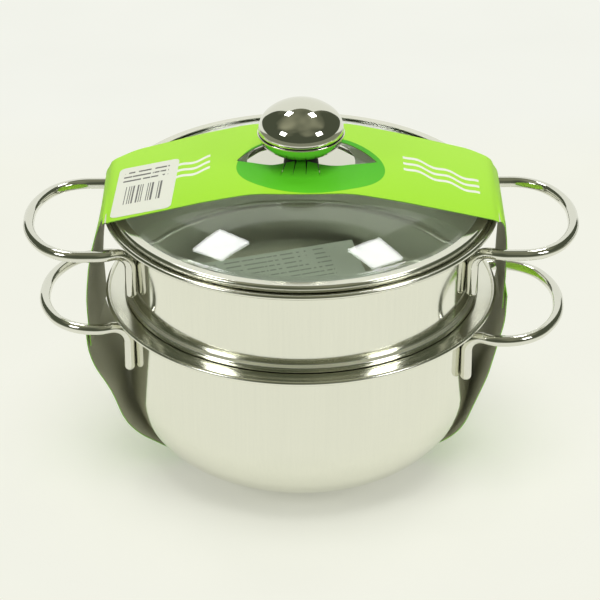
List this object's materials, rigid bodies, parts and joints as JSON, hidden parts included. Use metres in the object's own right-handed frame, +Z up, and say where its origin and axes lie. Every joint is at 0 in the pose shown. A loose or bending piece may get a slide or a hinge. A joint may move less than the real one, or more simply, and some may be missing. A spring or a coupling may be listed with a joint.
{
  "type": "steamer pot",
  "caption": "Stacked steamer set: bellied steel pot, lift-out steamer basket, domed glass lid with round steel knob, and a card sleeve round the stack.",
  "frame": {"origin": "on the surface that the set stands on, under the middle of the lid's knob", "axes": "+Z up along the axis of pot, basket and lid; X through the basket's two handles; -Y is the front of the sleeve's panel"},
  "size_m": [0.2952, 0.21, 0.2079],
  "materials": {
    "pot_steel": "bright satin drawn steel",
    "basket_steel": "bright satin drawn steel",
    "base_steel": "satin steel",
    "base_aluminium": "raw, sealed in",
    "handle_wire": "polished steel wire",
    "lid_glass": "clear tempered glass",
    "band_steel": "polished spun steel",
    "knob_steel": "mirror polished steel",
    "knob_moulding": "heat resistant moulding",
    "brass": "turned brass",
    "silicone": "translucent silicone",
    "screw_steel": "zinc plated",
    "sleeve_card": "green print outside, grey-green board inside",
    "label_paper": "white sticker",
    "leaflet_paper": "thin grey-white paper"
  },
  "bodies": {
    "pot": {"pot_body": "pot_steel", "pot_base_core": "base_aluminium", "pot_base_cap": "base_steel", "pot_handle_left": "handle_wire", "pot_handle_right": "handle_wire", "sleeve_strap": "sleeve_card"},
    "basket": {"basket_body": "basket_steel", "basket_handle_left": "handle_wire", "basket_handle_right": "handle_wire", "care_leaflet": "leaflet_paper"},
    "lid": {"lid_glass": "lid_glass", "lid_rim_band": "band_steel", "knob_upper_shell": "knob_steel", "knob_lower_shell": "knob_steel", "knob_core": "knob_moulding", "knob_insert": "brass", "knob_base_plate": "knob_steel", "knob_gasket": "silicone", "knob_under_gasket": "silicone", "knob_washer": "screw_steel", "knob_screw": "screw_steel", "sleeve_top_card": "sleeve_card", "sleeve_label": "label_paper"}
  },
  "joints": [
    {"name": "basket_lift", "type": "slide", "parent": "pot", "child": "basket", "axis": [0, 0, 1], "range_m": [0, 0.12]},
    {"name": "lid_lift", "type": "slide", "parent": "basket", "child": "lid", "axis": [0, 0, 1], "range_m": [0, 0.12]}
  ]
}
